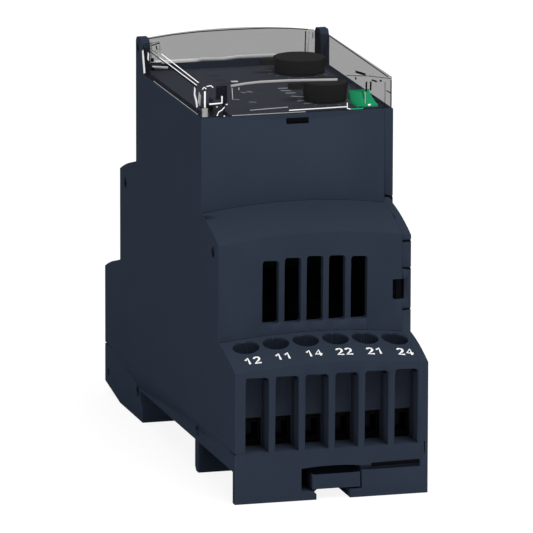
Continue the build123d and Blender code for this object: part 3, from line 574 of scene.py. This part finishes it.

# Painted highlights and painted shade: bright and dark lines where the clear cover's edges and corners bend
# the light
cover_left, cover_right = -17.41, 17.41
cover_near, cover_far = -22.41, 22.41
cover_glint_lines = (
    ("left_edge_bright", "x", cover_left, 0.24, painted_highlight, [[(6.2, 69.62), (-19.2, 69.5)]]),
    ("left_edge_inner", "z", 69.88, 0.26, painted_highlight, [[(-16.6, 7.9), (-17.0, -18.9)]]),
    ("left_edge_dark", "x", cover_left, 0.22, painted_dark_shade, [[(14.2, 69.4), (-19.4, 69.1)]]),
    ("left_foot_pale", "x", cover_left, 0.14, painted_dim_highlight, [[(10.4, 64.5), (-20.0, 64.4)]]),
    (
        "left_curve_bright",
        "x",
        cover_left,
        1.2,
        painted_highlight,
        [[(-18.0, 68.8), (-17.7, 67.6), (-19.0, 66.5), (-19.4, 65.6)]],
    ),
    ("left_curve_pale", "x", cover_left, 1.8, painted_dim_highlight, [[(-21.4, 68.4), (-20.7, 66.4)]]),
    ("near_corner_bright", "y", cover_near, 0.34, painted_highlight, [[(-16.8, 69.0), (-16.8, 66.1)]]),
    (
        "near_corner_hooks",
        "y",
        cover_near,
        0.2,
        painted_highlight,
        [[(-17.25, 69.35), (-16.95, 69.75), (-16.55, 69.4)], [(-16.5, 69.85), (-15.7, 69.95), (-15.3, 69.6)]],
    ),
    ("near_corner_pad", "y", cover_near, 1.1, painted_dim_highlight, [[(-16.8, 66.0), (-16.8, 64.4)]]),
    (
        "near_band",
        "y",
        cover_near,
        0.5,
        painted_dim_highlight,
        [[(-12.1, 69.7), (-9.5, 70.0), (-6.8, 70.15), (-1.4, 70.15), (7.3, 69.85)]],
    ),
    (
        "near_foot_pale",
        "y",
        cover_near,
        0.16,
        painted_dim_highlight,
        [[(-11.9, 64.4), (-7.2, 64.4), (1.5, 64.4)], [(-8.6, 65.2), (-1.7, 65.4)]],
    ),
    (
        "near_foot_bright",
        "y",
        cover_near,
        0.2,
        painted_highlight,
        [[(-1.5, 64.8), (9.0, 64.9)], [(9.1, 65.6), (9.1, 64.6), (9.7, 64.42)]],
    ),
    (
        "near_right_dark",
        "y",
        cover_near,
        0.2,
        painted_dark_shade,
        [[(17.1, 69.3), (17.1, 64.5)], [(16.25, 67.4), (17.1, 66.9)]],
    ),
    ("near_right_pillar", "y", cover_near, 0.1, painted_dark_shade, [[(16.0, 69.0), (16.0, 64.7)]]),
    ("near_top_dark", "y", cover_near, 0.12, painted_dark_shade, [[(9.0, 70.5), (12.9, 70.2), (17.1, 69.5)]]),
    (
        "near_top_marks",
        "y",
        cover_near,
        0.34,
        painted_dark_shade,
        [[(13.6, 69.45), (14.5, 69.1)], [(15.0, 69.25), (15.4, 69.2)]],
    ),
    ("near_foot_spot", "y", cover_near, 0.34, painted_highlight, [[(12.9, 65.0), (13.4, 65.05)]]),
    # Painted green glint of the button, laid on the cover's near foot
    ("near_foot_green_glint", "y", cover_near, 0.16, button_finish, [[(9.8, 64.42), (12.0, 64.42)]]),
    ("near_post_pale", "y", cover_near, 0.16, painted_dim_highlight, [[(12.35, 67.4), (12.4, 65.3)]]),
    ("right_top_dark", "x", cover_right, 0.24, painted_dark_shade, [[(19.2, 69.5), (-19.6, 69.25)]]),
    (
        "right_wall_marks",
        "x",
        16.15,
        0.5,
        painted_dark_shade,
        [[(-3.2, 67.1), (-9.6, 67.8)], [(-2.9, 65.9), (-3.8, 65.9)]],
    ),
    (
        "right_wall_posts",
        "y",
        cover_near,
        0.36,
        painted_dark_shade,
        [[(12.6, 69.2), (12.55, 67.4)], [(13.4, 69.2), (13.35, 67.6)]],
    ),
    (
        "far_top_dark",
        "y",
        cover_far,
        0.2,
        painted_dark_shade,
        [[(-15.2, 69.8), (-10.8, 70.3), (-6.0, 70.6), (0.4, 70.7), (7.1, 70.65), (11.2, 70.4), (14.6, 70.0)]],
    ),
    (
        "far_foot_bright",
        "y",
        21.1,
        0.8,
        painted_highlight,
        [[(-13.0, 65.4), (-6.7, 65.5), (-5.7, 65.8), (-1.6, 65.65), (1.2, 65.9), (8.5, 65.8)]],
    ),
    ("far_right_dark", "y", 21.1, 0.24, painted_dark_shade, [[(13.8, 70.0), (13.7, 66.0)]]),
    ("far_right_bright", "y", 21.1, 0.44, painted_highlight, [[(14.4, 69.9), (14.1, 66.0)]]),
    (
        "far_right_pale",
        "y",
        21.1,
        0.2,
        painted_dim_highlight,
        [[(15.15, 69.7), (15.15, 68.6)], [(16.0, 65.4), (16.1, 64.6)]],
    ),
    ("far_left_strip", "x", cover_left, 1.5, painted_highlight, [[(18.1, 68.6), (16.7, 64.7)]]),
    ("far_left_inner", "x", cover_left, 1.1, painted_highlight, [[(13.9, 68.9), (14.2, 67.6)]]),
    ("far_left_foot", "y", 18.1, 0.5, painted_highlight, [[(-15.6, 65.5), (-12.7, 65.2)]]),
    (
        "far_left_dark",
        "y",
        18.1,
        0.8,
        painted_dark_shade,
        [[(-15.9, 66.8), (-15.3, 66.7)], [(-15.5, 65.5), (-15.5, 64.9)]],
    ),
    (
        "far_ear_bright",
        "y",
        21.1,
        0.3,
        painted_highlight,
        [[(-15.2, 69.3), (-13.5, 69.5)], [(-13.4, 69.0), (-13.4, 67.5)], [(-14.8, 68.0), (-13.7, 67.4)]],
    ),
    (
        "far_ear_dark",
        "y",
        21.1,
        0.25,
        painted_dark_shade,
        [[(-15.0, 68.8), (-13.4, 69.2)], [(-14.1, 68.7), (-13.9, 67.9)]],
    ),
    ("seal_block", "y", -18.5, 2.0, seal_shade, [[(-12.7, 65.9), (-12.7, 69.0)]]),
    # Painted shadow at the foot of the seal post
    ("seal_foot_shadow", "y", -18.5, 1.7, painted_dark_shade, [[(-16.2, 65.2), (-12.1, 65.2)]]),
    ("seal_mark_bright", "y", cover_near, 0.3, painted_highlight, [[(-13.7, 68.0), (-13.7, 66.75), (-16.0, 66.65)]]),
    (
        "seal_curl_bright",
        "y",
        cover_near,
        0.2,
        painted_highlight,
        [
            [(-14.6, 64.5), (-14.3, 65.2), (-13.7, 65.5), (-13.25, 66.0)],
            [(-13.0, 66.45), (-12.7, 66.45)],
            [(-14.7, 66.1), (-14.5, 66.1)],
            [(-13.4, 64.4), (-13.15, 64.4)],
        ],
    ),
)
for name, axis, level, width, finish, lines in cover_glint_lines:
    flat_lines("cover_" + name, axis, level, lines, width, finish, "clear_cover")

# Printed lines of the setting scales on the front plate
plate_face = 64.17
plate_lines = (
    ("bracket", 0.17, white_ink, [[(-5.1, 2.3), (-7.7, -7.6), (-6.5, -7.9)], [(-3.8, 2.4), (-4.4, 0.3)]]),
    ("dash", 1.3, white_ink, [[(-3.7, 8.0), (-2.5, 7.9)]]),
    (
        "short_marks",
        0.5,
        grey_ink,
        [[(-4.5, -1.6), (-3.9, -2.6)], [(-3.3, -1.1), (-2.6, -2.4)], [(-5.5, -10.5), (-4.3, -11.0)]],
    ),
    (
        "delay_scale",
        0.8,
        grey_ink,
        [
            [(2.7, -0.2), (4.9, -0.3)],
            [(2.6, -2.3), (4.4, -2.6)],
            [(2.9, -4.5), (4.6, -4.8)],
            [(3.1, -7.3), (5.2, -8.8)],
            [(3.1, -11.6), (4.5, -11.7)],
            [(3.6, -14.2), (5.1, -14.1)],
            [(10.3, -13.5), (12.0, -13.5)],
        ],
    ),
)
for name, width, ink, lines in plate_lines:
    flat_lines("plate_" + name, "z", plate_face, lines, width, ink, "casing")

# Scale ticks around each knob, left off where the plate ends
tick_count = 11
tick_spread = 270
tick_gap = 0.55
tick_length = 0.75
tick_width = 0.22
tick_middle = 180
plate_half = 15.3
for node in ("value_knob", "delay_knob"):
    low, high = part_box(node)
    radius = (high.y - low.y) / 2 / mm
    x = high.x / mm - radius
    y = (low.y + high.y) / 2 / mm
    ticks = []
    for number in range(tick_count):
        angle = radians(tick_middle + tick_spread * (number / (tick_count - 1) - 0.5))
        near, far = radius + tick_gap, radius + tick_gap + tick_length
        if x + far * cos(angle) < plate_half:
            ticks.append([(x + reach * cos(angle), y + reach * sin(angle)) for reach in (near, far)])
    flat_lines("plate_ticks_" + node, "z", plate_face, ticks, tick_width, grey_ink, "casing")

# Camera: one view fitted to the photograph, as a 533 x 533 frame
view_azimuth = radians(-15.57528)
view_elevation = radians(12.57690)
view_roll = radians(0.11193)
view_distance = 1550.15 * mm
view_aim = Vector((0, 0, 36 * mm))
view_offset_right = 0.64995 * mm
view_offset_up = -4.05980 * mm
focal_pixels = 8684.55
frame_pixels = 533
sensor_width = 36.0

level_back = cos(view_elevation)
back = Vector((sin(view_azimuth) * level_back, -cos(view_azimuth) * level_back, sin(view_elevation)))
level_right = Vector((0, 0, 1)).cross(back).normalized()
level_up = back.cross(level_right)
right = cos(view_roll) * level_right + sin(view_roll) * level_up
up = -sin(view_roll) * level_right + cos(view_roll) * level_up
camera_data = bpy.data.cameras.new("camera")
camera_data.sensor_width = sensor_width
camera_data.lens = focal_pixels * sensor_width / frame_pixels
camera_data.clip_start = 0.1
camera_data.clip_end = 20
camera = bpy.data.objects.new("camera", camera_data)
scene.collection.objects.link(camera)
turn = Matrix((right, up, back)).transposed().to_4x4()
place = view_aim + back * view_distance + right * view_offset_right + up * view_offset_up
camera.matrix_world = Matrix.Translation(place) @ turn
scene.camera = camera


def area_lamp(name, position, target, size, power):
    """A soft rectangular lamp that faces a point."""
    data = bpy.data.lights.new(name, "AREA")
    data.shape = "RECTANGLE"
    data.size, data.size_y = size
    data.energy = power
    lamp = bpy.data.objects.new(name, data)
    scene.collection.objects.link(lamp)
    aim = Vector(target) - Vector(position)
    lamp.matrix_world = Matrix.Translation(position) @ aim.to_track_quat("-Z", "Y").to_matrix().to_4x4()
    return lamp


area_lamp("key_lamp", (0.25, -0.60, 1.05), (0, 0, 0.03), (0.7, 0.7), 11.0)
area_lamp("fill_lamp", (-0.9, -0.5, 0.45), (0, 0, 0.03), (0.8, 0.8), 2.6)
area_lamp("back_lamp", (0.2, 0.9, 0.8), (0, 0, 0.04), (0.9, 0.4), 4.5)


def seen_directly(nodes, links):
    """A factor of 1 for rays that look straight at the background, by sight, gloss or clear plastic."""
    path = nodes.new("ShaderNodeLightPath")
    last = path.outputs["Is Camera Ray"]
    for kind in ("Is Glossy Ray", "Is Transmission Ray"):
        either = nodes.new("ShaderNodeMath")
        either.operation = "MAXIMUM"
        links.new(last, either.inputs[0])
        links.new(path.outputs[kind], either.inputs[1])
        last = either.outputs["Value"]
    return last


# White studio: full white where it is seen directly, dimmer where it only lights
world = bpy.data.worlds.new("studio")
world.use_nodes = True
scene.world = world
world_nodes = world.node_tree.nodes
world_links = world.node_tree.links
ambient_strength = 0.46
backdrop_strength = 1.0
ambient = world_nodes["Background"]
ambient.inputs["Color"].default_value = (1, 1, 1, 1)
ambient.inputs["Strength"].default_value = ambient_strength
backdrop = world_nodes.new("ShaderNodeBackground")
backdrop.inputs["Color"].default_value = (1, 1, 1, 1)
backdrop.inputs["Strength"].default_value = backdrop_strength
world_mix = world_nodes.new("ShaderNodeMixShader")
world_links.new(seen_directly(world_nodes, world_links), world_mix.inputs["Fac"])
world_links.new(ambient.outputs["Background"], world_mix.inputs[1])
world_links.new(backdrop.outputs["Background"], world_mix.inputs[2])
world_links.new(world_mix.outputs["Shader"], world_nodes["World Output"].inputs["Surface"])

# Pale floor: paper that catches the shadow, lightened where it is seen directly
floor_glow = 1.1
floor_glow_share = 0.8
floor_shape = bmesh.new()
bmesh.ops.create_grid(floor_shape, x_segments=1, y_segments=1, size=3.0)
floor_mesh = bpy.data.meshes.new("floor")
floor_shape.to_mesh(floor_mesh)
floor_shape.free()
floor = bpy.data.objects.new("floor", floor_mesh)
scene.collection.objects.link(floor)
floor_material, floor_nodes, floor_links, floor_shader = new_material("floor_paper")
set_input(floor_shader, Base_Color=(0.8, 0.8, 0.8, 1), Roughness=0.9, Specular_IOR_Level=0.0)
floor_mesh.materials.append(floor_material)
floor_white = floor_nodes.new("ShaderNodeEmission")
floor_white.inputs["Color"].default_value = (1, 1, 1, 1)
floor_white.inputs["Strength"].default_value = floor_glow
paper = floor_nodes.new("ShaderNodeMixShader")
paper.inputs["Fac"].default_value = floor_glow_share
floor_links.new(floor_shader.outputs["BSDF"], paper.inputs[1])
floor_links.new(floor_white.outputs["Emission"], paper.inputs[2])
floor_mix = floor_nodes.new("ShaderNodeMixShader")
floor_links.new(seen_directly(floor_nodes, floor_links), floor_mix.inputs["Fac"])
floor_links.new(floor_shader.outputs["BSDF"], floor_mix.inputs[1])
floor_links.new(paper.outputs["Shader"], floor_mix.inputs[2])
floor_links.new(floor_mix.outputs["Shader"], floor_nodes["Material Output"].inputs["Surface"])

scene.view_settings.view_transform = "Standard"
